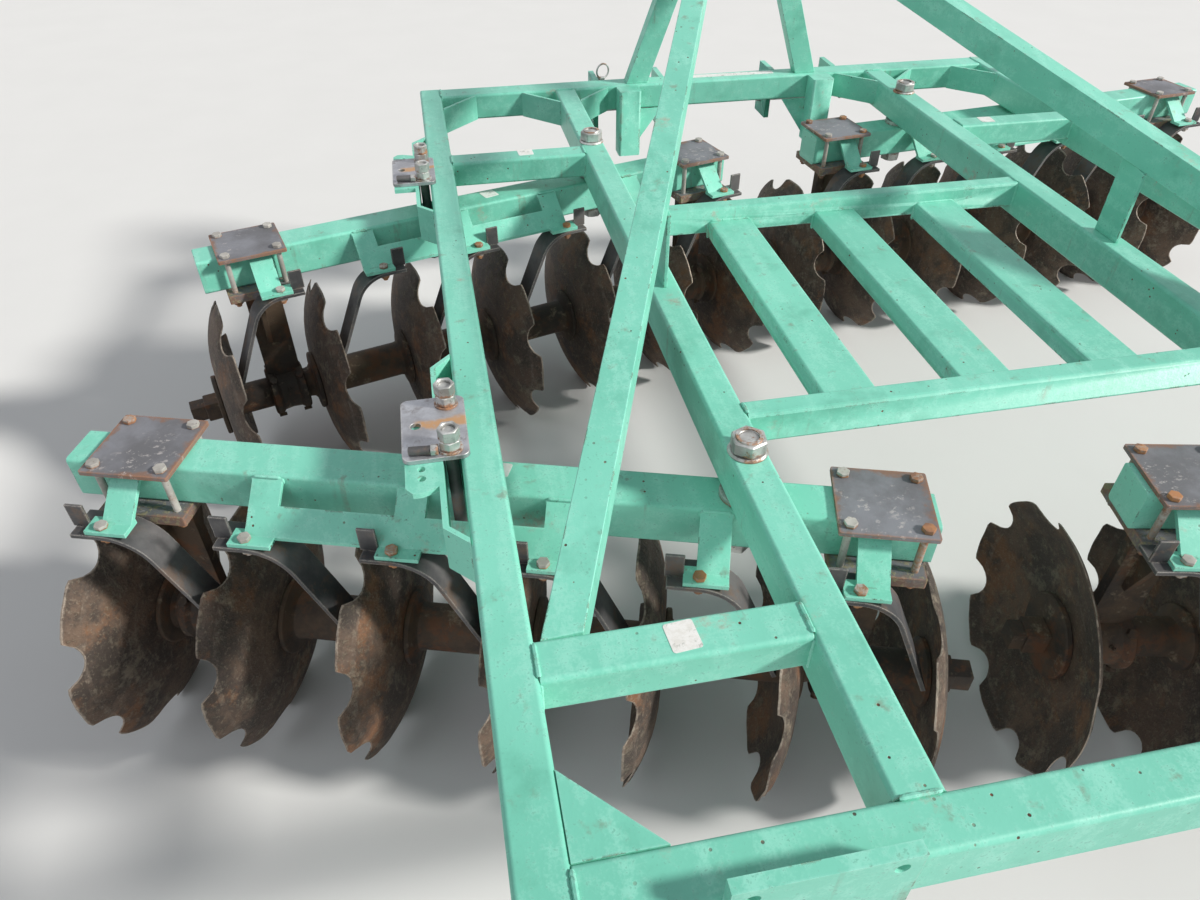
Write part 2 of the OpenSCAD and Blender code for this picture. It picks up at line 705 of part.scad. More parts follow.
gang_hangers(4);  // gang_4_hangers
gang_brackets(4);  // gang_4_brackets
gang_scrapers(4);  // gang_4_scrapers
lock(1);  // lock_1
lock(2);  // lock_2
lock(3);  // lock_3
lock(4);  // lock_4
axle_discs(1);  // axle_1_discs
axle_spools(1);  // axle_1_spools
axle_discs(2);  // axle_2_discs
axle_spools(2);  // axle_2_spools
axle_discs(3);  // axle_3_discs
axle_spools(3);  // axle_3_spools
axle_discs(4);  // axle_4_discs
axle_spools(4);  // axle_4_spools
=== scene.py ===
import json
import math
import random

import bmesh
import bpy
from mathutils import Matrix, Vector


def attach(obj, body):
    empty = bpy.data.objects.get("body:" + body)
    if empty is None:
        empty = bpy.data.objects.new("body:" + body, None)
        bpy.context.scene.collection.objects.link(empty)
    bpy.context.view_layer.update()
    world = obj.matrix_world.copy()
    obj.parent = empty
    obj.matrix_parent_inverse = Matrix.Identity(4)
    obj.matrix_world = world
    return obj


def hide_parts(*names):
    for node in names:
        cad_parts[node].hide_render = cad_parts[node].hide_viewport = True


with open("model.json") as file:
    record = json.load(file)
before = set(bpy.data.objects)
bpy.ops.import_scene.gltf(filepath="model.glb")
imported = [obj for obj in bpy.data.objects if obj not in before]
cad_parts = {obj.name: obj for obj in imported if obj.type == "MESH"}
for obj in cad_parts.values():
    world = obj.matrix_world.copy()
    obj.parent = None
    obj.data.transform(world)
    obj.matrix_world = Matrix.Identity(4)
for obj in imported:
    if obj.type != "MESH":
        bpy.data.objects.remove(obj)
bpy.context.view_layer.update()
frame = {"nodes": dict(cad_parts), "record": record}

# Sizes of the harrow in millimetres, as the frame has them
CENTRE_X, FRONT_Y = 6, 1098
FRAME_TOP, BEAM_H, BEAM_W = 750, 80, 60
FRONT_SIDE, CROSS_SIDE = 70, 60
OUTER_X, INNER_X, FRAME_LENGTH = 881, 488, 2300
CROSS_BACK = (504, 2032)
RUNG_BACK, RUNG_W, RUNG_H = (880, 1616), 40, 60
BAR_PITCH, BAR_W, BAR_H, BAR_DROP = 252, 100, 40, 30
FRAME_BOTTOM = FRAME_TOP - BEAM_H
GANG_TOP, GANG_SIDE = 660, 80
GANG_BOTTOM = GANG_TOP - GANG_SIDE
HANGER_X, PLATE_SIDE, PLATE_T, LOW_PLATE_T = 600, 150, 8, 20
BOLT_IN = 18
AXLE = 255
DISC_R, DISC_T, DISH, FLAT_R = 255, 5, 52, 86
NOTCHES, NOTCH_R, NOTCH_DEPTH = 8, 50, 32
DISC_COUNT, DISC_PITCH, BACKMOST = 7, 240, 755
STATION_BACK, BRACKET_Z = 170, 585
SLOT_X = 924.5
LOCK_PITCH, LOCK_T, SEAT = 112, 8, 0.3

# A gang: side of the frame, pivot behind the front beam, angle, middle outward of the pivot,
# the way its hollow faces look
GANGS = {
    1: (-1, 452, 15.9, 287, 1),
    2: (1, 242, 7.0, 390, 1),
    3: (1, FRAME_LENGTH - 428, -12.0, 338, -1),
    4: (-1, FRAME_LENGTH - 583, -17.5, 382, -1),
}


# Places, as matrices in millimetres
def moved(x=0.0, y=0.0, z=0.0):
    return Matrix.Translation((x, y, z))


def turned(axis, degrees):
    return Matrix.Rotation(math.radians(degrees), 4, axis)


def flipped():
    """X turned round, for what is made in mirrored pairs."""
    return Matrix.Scale(-1, 4, (1, 0, 0))


def at(across, ahead, up):
    """A point of the frame's own layout, seen from the part's origin."""
    return moved(across - CENTRE_X, ahead + FRONT_Y, up)


def beside(k):
    """A gang's place: X along its beam, Y towards the tractor, Z from the ground."""
    side, back, angle, outward, _ = GANGS[k]
    return at(side * INNER_X, -back, 0) @ turned("Z", angle) @ moved(side * outward)


def facing(k):
    """A gang's place with its discs' backs looking along X."""
    return beside(k) @ (flipped() if GANGS[k][4] > 0 else Matrix())


def hub_x(n):
    return BACKMOST - n * DISC_PITCH


def lock_place(k):
    """A lock's place in its slot: X outward, Y towards the tractor."""
    side, back, angle, _, _ = GANGS[k]
    ahead = side * (SLOT_X - INNER_X) * math.tan(math.radians(angle)) - back
    return at(side * SLOT_X, ahead, 0) @ (Matrix() if side > 0 else flipped())


# Shapes, in millimetres, each made once and placed many times
def closed(bm):
    """Joins the points that meet and turns all faces outwards."""
    bmesh.ops.remove_doubles(bm, verts=bm.verts, dist=0.01)
    bmesh.ops.recalc_face_normals(bm, faces=bm.faces)


def as_mesh(bm, name="shape"):
    mesh = bpy.data.meshes.new(name)
    bm.to_mesh(mesh)
    bm.free()
    return mesh


def shaped(bm, round_off=0.0, segments=2):
    """Closes a bmesh, rounds its sharp edges and keeps it as a mesh."""
    closed(bm)
    if round_off:
        sharp = [e for e in bm.edges if e.is_manifold and e.calc_face_angle() > math.radians(38)]
        bmesh.ops.bevel(bm, geom=sharp, offset=round_off, segments=segments, profile=0.5,
                        affect="EDGES", clamp_overlap=True, material=-1)
    return as_mesh(bm)


def block(x, y, z, round_off=1.0):
    """Box centred on the Z axis and standing on z = 0."""
    bm = bmesh.new()
    bmesh.ops.create_cube(bm, size=1, matrix=moved(0, 0, z / 2) @ Matrix.Diagonal((x, y, z, 1)))
    return shaped(bm, round_off)


def rod(radius, length, round_off=1.0, segments=32):
    """Round bar along Z from z = 0."""
    bm = bmesh.new()
    bmesh.ops.create_cone(bm, cap_ends=True, segments=segments, radius1=radius, radius2=radius,
                          depth=length, matrix=moved(0, 0, length / 2))
    return shaped(bm, round_off)


def plate(outline, thick, holes=(), corner=0.0, round_off=0.8):
    """Flat plate cut to an outline, with round holes (x, y, radius), standing on z = 0."""
    bm = bmesh.new()
    face = bm.faces.new([bm.verts.new((x, y, 0)) for x, y in outline])
    if corner:
        bmesh.ops.bevel(bm, geom=list(face.verts), offset=corner, segments=5, profile=0.5,
                        affect="VERTICES", clamp_overlap=True, material=-1)
    if holes:
        bmesh.ops.delete(bm, geom=bm.faces[:], context="FACES_ONLY")
        for x, y, radius in holes:
            bmesh.ops.create_circle(bm, segments=20, radius=radius, matrix=moved(x, y))
        bmesh.ops.triangle_fill(bm, edges=bm.edges[:], use_beauty=True, use_dissolve=False)
    grown = bmesh.ops.extrude_face_region(bm, geom=bm.faces[:])
    lifted = [v for v in grown["geom"] if isinstance(v, bmesh.types.BMVert)]
    bmesh.ops.translate(bm, vec=(0, 0, thick), verts=lifted)
    return shaped(bm, round_off, 1 if holes else 2)


def rectangle(x0, x1, y0, y1):
    return [(x0, y0), (x1, y0), (x1, y1), (x0, y1)]


def centred(along, across):
    """A rectangle's outline round the Z axis."""
    return rectangle(-along / 2, along / 2, -across / 2, across / 2)


def hexagon(across_flats):
    reach = across_flats / math.sqrt(3)
    return [(reach * math.cos(a), reach * math.sin(a)) for a in (n * math.pi / 3 for n in range(6))]


def nut(across_flats, high, bore):
    return plate(hexagon(across_flats), high, [(0, 0, bore)], round_off=across_flats * 0.045)


def spin_round(bm, steps):
    """Spins all that a bmesh holds once round the Z axis."""
    bmesh.ops.spin(bm, geom=bm.verts[:] + bm.edges[:], axis=(0, 0, 1), cent=(0, 0, 0),
                   angle=math.tau, steps=steps, use_merge=True)


def turned_section(profile, steps):
    """A closed section of (radius, height) points spun round the Z axis."""
    bm = bmesh.new()
    section = [bm.verts.new((r, 0, z)) for r, z in profile]
    for first, second in zip(section, section[1:] + section[:1]):
        bm.edges.new((first, second))
    spin_round(bm, steps)
    return bm


def lathe(profile, steps=48, round_off=0.0):
    """Turned piece with a closed section of (radius, height) points."""
    return shaped(turned_section(profile, steps), round_off)


def ring(radius, wire, steps=40):
    """Wire ring lying flat."""
    bm = bmesh.new()
    bmesh.ops.create_circle(bm, segments=10, radius=wire, matrix=moved(radius) @ turned("X", 90))
    spin_round(bm, steps)
    return shaped(bm)


def bead(length, radius, draw):
    """Weld bead along X from x = 0, with the ripples of the weld's runs."""
    bm = bmesh.new()
    start = bmesh.ops.create_circle(bm, cap_ends=True, segments=7, radius=radius * 0.55,
                                    matrix=turned("Y", 90))["verts"]
    face = start[0].link_faces[0]
    count = max(3, round(length / (radius * 0.75)))
    for n in range(count):
        face = bmesh.ops.extrude_discrete_faces(bm, faces=[face])["faces"][0]
        middle = face.calc_center_median()
        swell = (1.0 if n % 2 else 0.86) * draw.uniform(0.92, 1.1)
        size = swell * radius if n < count - 1 else radius * 0.5
        now = (face.verts[0].co - middle).length
        bmesh.ops.scale(bm, vec=Vector((size / now,) * 3), verts=face.verts[:],
                        space=Matrix.Translation(-middle))
        bmesh.ops.translate(bm, vec=(length / count, 0, 0), verts=face.verts[:])
    return shaped(bm)


def softened(node, round_off=1.5):
    """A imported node's own shape with its sharp edges rounded, in millimetres."""
    bm = bmesh.new()
    bm.from_mesh(frame["nodes"][node].data)
    bmesh.ops.scale(bm, vec=(1000, 1000, 1000), verts=bm.verts)
    bmesh.ops.remove_doubles(bm, verts=bm.verts, dist=0.02)
    bmesh.ops.dissolve_limit(bm, angle_limit=math.radians(1), verts=bm.verts, edges=bm.edges)
    return shaped(bm, round_off)


def piece(name, body, parts, material, slot, *nodes):
    """Joins (shape, place) pairs into one object that rides on a body and may stand for nodes.

    The attribute "own" keeps where each point was in its shape, for finishes that follow it.
    """
    bm = bmesh.new()
    for shape, where in parts:
        placed = shape.copy()
        own = placed.attributes.new("own", "FLOAT_VECTOR", "POINT")
        own.data.foreach_set("vector", [c / 1000 for v in placed.vertices for c in v.co])
        placed.transform(Matrix.Scale(0.001, 4) @ where)
        if where.determinant() < 0:
            placed.flip_normals()
        bm.from_mesh(placed)
        bpy.data.meshes.remove(placed)
    mesh = as_mesh(bm, name)
    mesh.shade_smooth()
    mesh.set_sharp_from_angle(angle=math.radians(32))
    mesh.materials.append(material)
    made = bpy.data.objects.new(name, mesh)
    bpy.context.collection.objects.link(made)
    made.modifiers.new("even_faces", "WEIGHTED_NORMAL").keep_sharp = True
    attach(made, body)
    if nodes:
        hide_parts(*nodes)



# Finishes
class Tone:
    """A value or colour of a finish, with arithmetic that adds its nodes."""

    tree = None

    def __init__(self, socket):
        self.socket = socket

    @classmethod
    def node(cls, kind, settings=None, out=0, **sockets):
        """Adds a node with its settings and its sockets' values or links, by name or _number."""
        made = cls.tree.nodes.new(kind)
        for key, value in (settings or {}).items():
            setattr(made, key, value)
        for key, value in sockets.items():
            socket = made.inputs[int(key[1:]) if key[1:].isdigit() else key.replace("_", " ")]
            if isinstance(value, Tone):
                cls.tree.links.new(value.socket, socket)
            else:
                socket.default_value = value
        return cls(made.outputs[out]) if made.outputs else None

    def maths(self, how, other=0.0):
        return Tone.node("ShaderNodeMath", {"operation": how}, _0=self, _1=other)

    def __add__(self, other):
        return self.maths("ADD", other)

    def __mul__(self, other):
        return self.maths("MULTIPLY", other)

    def __sub__(self, other):
        return self.maths("SUBTRACT", other)

    def __rsub__(self, other):
        return self.maths("MULTIPLY", -1.0) + other

    __radd__, __rmul__ = __add__, __mul__

    def size(self):
        return self.maths("ABSOLUTE")

    def over(self, low, high):
        """0 at low, 1 at high, smooth between."""
        return Tone.node("ShaderNodeMapRange", {"interpolation_type": "SMOOTHSTEP"},
                         Value=self, From_Min=low, From_Max=high)

    def under(self, colour, by):
        """This colour with another laid over it by a mask."""
        return blend(self, colour, by)


def tint(red, green, blue):
    return (red, green, blue, 1)


def blend(first, second, by):
    return Tone.node("ShaderNodeMix", {"data_type": "RGBA"}, out=2, _0=by, _6=first, _7=second)


def between(low, high, by):
    return by * (high - low) + low


def place():
    return Tone.node("ShaderNodeTexCoord", out=3)


def kept(name):
    """An attribute of the piece's points."""
    return Tone.node("ShaderNodeAttribute", {"attribute_name": name}, out=1)


def axis_of(where, axis):
    return Tone.node("ShaderNodeSeparateXYZ", out="XYZ".index(axis), Vector=where)


def cloud(where, scale, detail=4.0, rough=0.55, move=(0, 0, 0), stretch=(1, 1, 1)):
    spot = Tone.node("ShaderNodeMapping", Vector=where, Scale=stretch, Location=move)
    return Tone.node("ShaderNodeTexNoise", Vector=spot, Scale=scale, Detail=detail, Roughness=rough)


def specks(where, scale, size):
    """1 inside small round spots scattered over the surface."""
    cell = Tone.node("ShaderNodeTexVoronoi", Vector=where, Scale=scale)
    return 1 - cell.over(size * 0.6, size)


def edges(size):
    """1 on outer edges and 0 on open faces."""
    soft = Tone.node("ShaderNodeBevel", {"samples": 2}, Radius=size)
    flat = Tone.node("ShaderNodeNewGeometry", out=1)
    alike = Tone.node("ShaderNodeVectorMath", {"operation": "DOT_PRODUCT"}, out=1,
                      _0=soft, _1=flat)
    return 1 - alike


def relief(height, strength, depth):
    return Tone.node("ShaderNodeBump", Height=height, Strength=strength, Distance=depth)


def finish(name, sockets):
    """A material; sockets() gives what goes into the shader."""
    made = bpy.data.materials.new(name)
    made.use_nodes = True
    made.node_tree.nodes.clear()
    Tone.tree = made.node_tree
    shader = Tone.node("ShaderNodeBsdfPrincipled", **sockets())
    Tone.node("ShaderNodeOutputMaterial", Surface=shader)
    return made


RUST = tint(0.19, 0.075, 0.032)
DARK_RUST = tint(0.060, 0.028, 0.018)
ORANGE_RUST = tint(0.45, 0.19, 0.065)
DUST = tint(0.36, 0.29, 0.20)


def green_paint():
    """Brushed-on mint paint: mottled, dusty in patches, with a painted highlight on its edges,
    chipped to rust along its edges.
    """
    here = place()
    wide = cloud(here, 2.2, 3)
    fine = cloud(here, 55, 5, 0.65)
    grit = cloud(here, 240, 2)
    colour = blend(tint(0.168, 0.560, 0.425), tint(0.228, 0.675, 0.525), wide.over(0.3, 0.7))
    brush = cloud(here, 30, 4, 0.6, (4, 2, 0), (1, 0.12, 1))
    strokes = (brush * 0.4 + fine * 0.35 + grit * 0.25).over(0.47, 0.60)
    colour = colour.under(tint(0.33, 0.76, 0.62), strokes * 0.6)
    shade = cloud(here, 8, 6, 0.62, (3, 1, 0)).over(0.52, 0.72)
    colour = colour.under(tint(0.095, 0.38, 0.27), shade * 0.5)
    colour = colour.under(tint(0.08, 0.31, 0.22), (grit * 0.6 + fine * 0.4).over(0.56, 0.66) * 0.45)
    scuff = cloud(here, 5.5, 7, 0.72, (1, 5, 2)).over(0.60, 0.70) * fine.over(0.40, 0.60)
    colour = colour.under(tint(0.40, 0.33, 0.26), scuff * 0.7)
    runs = cloud(here, 1, 4, 0.6, (0, 0, 7), (26, 26, 2.5))
    streak = runs.over(0.60, 0.74) * fine.over(0.35, 0.6)
    colour = colour.under(tint(0.20, 0.13, 0.08), streak * 0.55)
    corner = edges(0.004)
    # painted highlight: a lighter mint laid along the rounded edges, where light would catch them
    bright = corner.over(0.01, 0.10) * fine.over(0.30, 0.55)
    colour = colour.under(tint(0.40, 0.80, 0.68), bright * 0.55)
    chips = corner.over(0.01, 0.12) * (
        (cloud(here, 20, 6, 0.7, (7, 0, 1)) + fine * 0.3).over(0.70, 0.75))
    flakes = (cloud(here, 12, 8, 0.75, (2, 9, 4)) + fine * 0.12).over(0.765, 0.785)
    spots = specks(here, 42, 0.10) * cloud(here, 4, 3, 0.5, (6, 6, 0)).over(0.44, 0.58)
    bare = (chips + flakes + spots).maths("MINIMUM", 1.0)
    colour = colour.under(blend(RUST, DARK_RUST, grit.over(0.4, 0.6)), bare)
    return dict(Base_Color=colour, Roughness=between(0.36, 0.86, bare + scuff * 0.5) + fine * 0.12,
                Normal=relief(grit * 0.2 + fine * 0.45 + brush * 0.3 - bare * 1.2, 0.55, 0.0012))


def rusty_plate():
    """Mill scale worn grey, orange along the edges, with pale scratches and lichen spots."""
    here = place()
    wide = cloud(here, 7, 5, 0.6)
    fine = cloud(here, 90, 6, 0.7)
    own = kept("own")
    colour = blend(tint(0.150, 0.150, 0.160), tint(0.245, 0.25, 0.275), wide.over(0.36, 0.64))
    rim = axis_of(own, "X").size().maths("MAXIMUM", axis_of(own, "Y").size())
    brown = (rim * 14 + cloud(here, 14, 6, 0.7, (4, 4, 0)) + fine * 0.4).over(1.58, 1.80)
    colour = colour.under(tint(0.215, 0.120, 0.080), brown * 0.9)
    pale = (cloud(here, 55, 6, 0.75, (2, 2, 2), (1, 1.7, 1)) * 0.6 + fine * 0.4).over(0.53, 0.60)
    pale = pale * cloud(here, 7, 3, 0.5, (8, 1, 1)).over(0.47, 0.60)
    colour = colour.under(tint(0.50, 0.47, 0.46), pale * 0.75)
    worn = edges(0.007).over(0.01, 0.15) * (wide + fine * 0.4).over(0.45, 0.70)
    colour = colour.under(tint(0.40, 0.19, 0.105), worn * 0.85)
    low = 1 - axis_of(here, "Z").over(0.585, 0.64)
    lichen = (cloud(here, 90, 6, 0.7, (3, 0, 0)) + wide * 0.2).over(0.58, 0.70) * low
    colour = colour.under(tint(0.30, 0.27, 0.155), lichen * 0.75)
    return dict(Base_Color=colour, Roughness=between(0.55, 0.85, fine), Metallic=(1 - brown) * 0.3,
                Normal=relief(fine + wide * 0.5 + lichen, 0.6, 0.0012))


def bolt_steel():
    """Small bolts: dull zinc, some gone orange all over and the others only at their feet."""
    here = place()
    wide = cloud(here, 18, 5, 0.6)
    fine = cloud(here, 150, 5, 0.7)
    colour = blend(tint(0.36, 0.34, 0.31), tint(0.56, 0.54, 0.50), wide.over(0.35, 0.65))
    foot = 1 - axis_of(kept("own"), "Z").over(0.0, 0.006)
    rusted = (cloud(here, 5, 3, 0.5, (1, 2, 8)) + fine * 0.3 + foot * 0.16).over(0.62, 0.74)
    colour = colour.under(blend(ORANGE_RUST, RUST, wide.over(0.4, 0.6)), rusted * 0.9)
    colour = colour.under(DARK_RUST, fine.over(0.58, 0.72) * 0.5)
    return dict(Base_Color=colour, Roughness=between(0.45, 0.85, fine + rusted * 0.3),
                Metallic=(1 - rusted) * 0.4, Normal=relief(fine + rusted * 0.3, 0.5, 0.0010))


def nut_steel():
    """Big pivot and lock nuts: dull weathered zinc with rust only where they sit."""
    here = place()
    wide = cloud(here, 22, 5, 0.6)
    fine = cloud(here, 150, 5, 0.7)
    colour = blend(tint(0.33, 0.33, 0.315), tint(0.60, 0.60, 0.58), wide.over(0.36, 0.64))
    foot = 1 - axis_of(kept("own"), "Z").over(0.0, 0.009)
    rusted = (cloud(here, 26, 6, 0.75, (1, 2, 8)) + fine * 0.25 + foot * 0.14).over(0.70, 0.82)
    colour = colour.under(blend(ORANGE_RUST, RUST, fine.over(0.4, 0.6)), rusted * 0.85)
    colour = colour.under(tint(0.12, 0.10, 0.085), fine.over(0.56, 0.70) * 0.55)
    return dict(Base_Color=colour, Roughness=between(0.32, 0.62, fine + rusted * 0.3),
                Metallic=(1 - rusted) * 0.65, Normal=relief(fine, 0.4, 0.0008))


def zinc_plate():
    """Galvanised plate: grey spangle, dirt, and a rust streak beside its hole."""
    here = place()
    wide = cloud(here, 16, 5, 0.6)
    fine = cloud(here, 140, 5, 0.7)
    own = kept("own")
    across, along = axis_of(own, "X"), axis_of(own, "Y")
    colour = blend(tint(0.34, 0.34, 0.36), tint(0.50, 0.51, 0.54),
                   (wide * 0.7 + fine * 0.3).over(0.36, 0.64))
    off = (along - 0.010 + across * 0.16 + (wide - 0.5) * 0.05).size()
    streak = (1 - off.over(0.006, 0.017)) * (1 - across.over(0.048, 0.056)) * (
        (fine + wide).over(0.72, 1.0))
    colour = colour.under(tint(0.50, 0.27, 0.115), streak * 0.9)
    grime = (cloud(here, 34, 6, 0.72, (5, 2, 0)) + along.size() * 2.2).over(0.62, 0.78)
    colour = colour.under(tint(0.19, 0.165, 0.155), grime * 0.6)
    worn = edges(0.005).over(0.01, 0.15) * fine.over(0.35, 0.6)
    colour = colour.under(tint(0.62, 0.60, 0.56), worn * 0.7)
    return dict(Base_Color=colour, Roughness=between(0.34, 0.66, fine + streak * 0.4),
                Metallic=(1 - streak) * 0.7, Normal=relief(fine, 0.35, 0.0008))


def blade_steel():
    """Dark spring steel with brown rust patches and pale worn edges."""
    here = place()
    wide = cloud(here, 9, 5, 0.6)
    fine = cloud(here, 120, 5, 0.7)
    colour = blend(tint(0.058, 0.058, 0.062), tint(0.14, 0.135, 0.135), wide.over(0.35, 0.65))
    rusted = (cloud(here, 16, 6, 0.7, (5, 0, 0)) + fine * 0.2).over(0.62, 0.76)
    colour = colour.under(tint(0.17, 0.115, 0.085), rusted * 0.7)
    worn = edges(0.004).over(0.01, 0.15) * fine.over(0.30, 0.55)
    colour = colour.under(tint(0.44, 0.41, 0.37), worn * 0.8)
    return dict(Base_Color=colour, Roughness=between(0.42, 0.78, fine), Metallic=0.45,
                Normal=relief(fine + rusted * 0.5, 0.5, 0.0008))


def spool_iron():
    """Cast spools and bearings, dark with earth and some dust."""
    here = place()
    wide = cloud(here, 8, 5, 0.65)
    fine = cloud(here, 110, 6, 0.7)
    colour = blend(tint(0.045, 0.036, 0.030), tint(0.105, 0.07, 0.045), wide.over(0.38, 0.62))
    rusted = (cloud(here, 13, 6, 0.7, (1, 8, 3)) + fine * 0.2).over(0.60, 0.74)
    colour = colour.under(RUST, rusted * 0.6)
    dusty = (cloud(here, 20, 6, 0.7, (5, 3, 0)) + fine * 0.2).over(0.66, 0.8)
    colour = colour.under(DUST, dusty * 0.6)
    return dict(Base_Color=colour, Roughness=between(0.6, 0.92, fine), Metallic=0.2,
                Normal=relief(fine + wide, 0.7, 0.0015))


def disc_steel():
    """Rusted disc: pitted brown and dark patches partly painted shade, scoured rings, a bright worn
    rim.
    """
    here = place()
    rings = axis_of(kept("rings"), "X")
    rim = axis_of(kept("rings"), "Y")
    wide = cloud(here, 5, 6, 0.65)
    fine = cloud(here, 70, 7, 0.75)
    pits = cloud(here, 190, 4, 0.7, (3, 3, 3))
    # partly rust, partly painted shade: the base tones and dark patches keep the disc darker than
    # its dusty steel
    colour = blend(tint(0.080, 0.052, 0.038), tint(0.150, 0.098, 0.066), wide.over(0.35, 0.65))
    dark = (cloud(here, 9, 6, 0.7, (4, 1, 1)) + fine * 0.25).over(0.52, 0.70)
    colour = colour.under(tint(0.036, 0.028, 0.023), dark * 0.85)
    orange = (cloud(here, 7, 6, 0.7, (1, 6, 2)) + fine * 0.3).over(0.66, 0.80)
    colour = colour.under(tint(0.235, 0.105, 0.045), orange * 0.65)
    scour = Tone.node("ShaderNodeTexNoise", {"noise_dimensions": "1D"}, W=rings, Scale=60, Detail=5)
    colour = colour.under(tint(0.21, 0.165, 0.13),
                          scour.over(0.52, 0.68) * fine.over(0.42, 0.60) * 0.45)
    mud = (cloud(here, 15, 7, 0.75, (9, 1, 3)) * 0.75 + fine * 0.35).over(0.56, 0.68)
    colour = colour.under(tint(0.27, 0.225, 0.165), mud * 0.6)
    grains = (pits * 0.6 + fine * 0.4).over(0.52, 0.62)
    colour = colour.under(tint(0.32, 0.27, 0.20), grains * 0.35)
    bright = (rim + (wide + fine - 1.0) * 0.5).over(0.90, 1.05)
    colour = colour.under(tint(0.40, 0.34, 0.28), bright * 0.75)
    return dict(Base_Color=colour, Roughness=between(0.50, 0.92, fine) - bright * 0.18,
                Metallic=bright * 0.5,
                Normal=relief(fine + pits * 0.8 + mud * 0.8 - dark * 0.4, 1.0, 0.0025))


def blank_label():
    """White film, yellowed and dirty, with nothing printed on it."""
    here = place()
    fine = cloud(here, 90, 5, 0.7)
    colour = blend(tint(0.74, 0.73, 0.69), tint(0.84, 0.84, 0.82), fine.over(0.35, 0.6))
    dirt = (cloud(here, 45, 6, 0.75, (2, 7, 1)) + fine * 0.2).over(0.62, 0.76)
    colour = colour.under(tint(0.24, 0.27, 0.22), dirt * 0.7)
    return dict(Base_Color=colour, Roughness=between(0.35, 0.6, dirt),
                Normal=relief(fine, 0.25, 0.0004))


GREEN = finish("green_paint", green_paint)
PLATE = finish("rusty_plate", rusty_plate)
BOLT = finish("bolt_steel", bolt_steel)
NUT = finish("nut_steel", nut_steel)
ZINC = finish("zinc_plate", zinc_plate)
BLADE = finish("blade_steel", blade_steel)
SPOOL = finish("spool_iron", spool_iron)
DISC = finish("disc_steel", disc_steel)
LABEL = finish("blank_label", blank_label)

# Frame: welded steel with its edges rounded, weld beads, bolts, hitch and blank labels
WELDED = [node for node in frame["record"]["behaviour"]["bodies"]["frame"]
          if node not in ("pivot_bolts", "hitch_pins", "corner_plates")]
TUBE_R = 6
for node in WELDED:
    piece(f"{node}_steel", "frame", [(softened(node), Matrix())], GREEN, "green_paint", node)

# Corner plates: plain uprights across the front corners, flat ones in the rear corners
CORNER_T, CORNER_LEG, CORNER_DOWN = 8, 100, 1
UPRIGHT_H = FRONT_SIDE - 2
SHORT_LEG = CORNER_LEG - CORNER_T * math.sqrt(2)
corners = []
for side in (-1, 1):
    outer, inner = side * (OUTER_X - BEAM_W / 2), side * INNER_X
    beam_faces = (inner + side * BEAM_W / 2, side), (inner - side * BEAM_W / 2, -side)
    for across, way in ((outer, -side), *beam_faces):
        upright = plate([(way * CORNER_LEG, 0), (way * SHORT_LEG, 0), (0, -SHORT_LEG),
                         (0, -CORNER_LEG)], UPRIGHT_H)
        corners.append((upright, at(across, -FRONT_SIDE / 2, FRAME_TOP - FRONT_SIDE)))
    flat = plate([(0, 0), (-side * CORNER_LEG, 0), (0, CORNER_LEG)], CORNER_T)
    corners.append((flat, at(outer, -FRAME_LENGTH + BEAM_W / 2,
                             FRAME_TOP - CORNER_T - CORNER_DOWN)))
piece("corner_plates_cut", "frame", corners, GREEN, "green_paint", "corner_plates")

draw = random.Random(4)


def seam(start, end, radius=3.6):
    """A weld bead between two places."""
    start, end = (spot.translation if isinstance(spot, Matrix) else Vector(spot)
                  for spot in (start, end))
    run = end - start
    where = Matrix.Translation(start) @ run.to_track_quat("X", "Z").to_matrix().to_4x4()
    return bead(run.length, radius, draw), where


def tube_welds(across, ahead, half, low, along="Y"):
    """Beads round the end of a tube: over its top and down its two sides."""
    step = Vector((0, half, 0)) if along == "Y" else Vector((half, 0, 0))
    corner = [at(across, ahead, FRAME_TOP).translation + sign * step for sign in (-1, 1)]
    drop = Vector((0, 0, low - FRAME_TOP))
    inset, below = step.normalized() * TUBE_R, Vector((0, 0, -TUBE_R))
    return [seam(corner[0] + inset, corner[1] - inset),
            seam(corner[0] + drop, corner[0] + below),
            seam(corner[1] + drop, corner[1] + below)]


REAR_SEAM, REAR_SEAM_R, MITRE_SEAM_R = 92, 5.5, 4.5


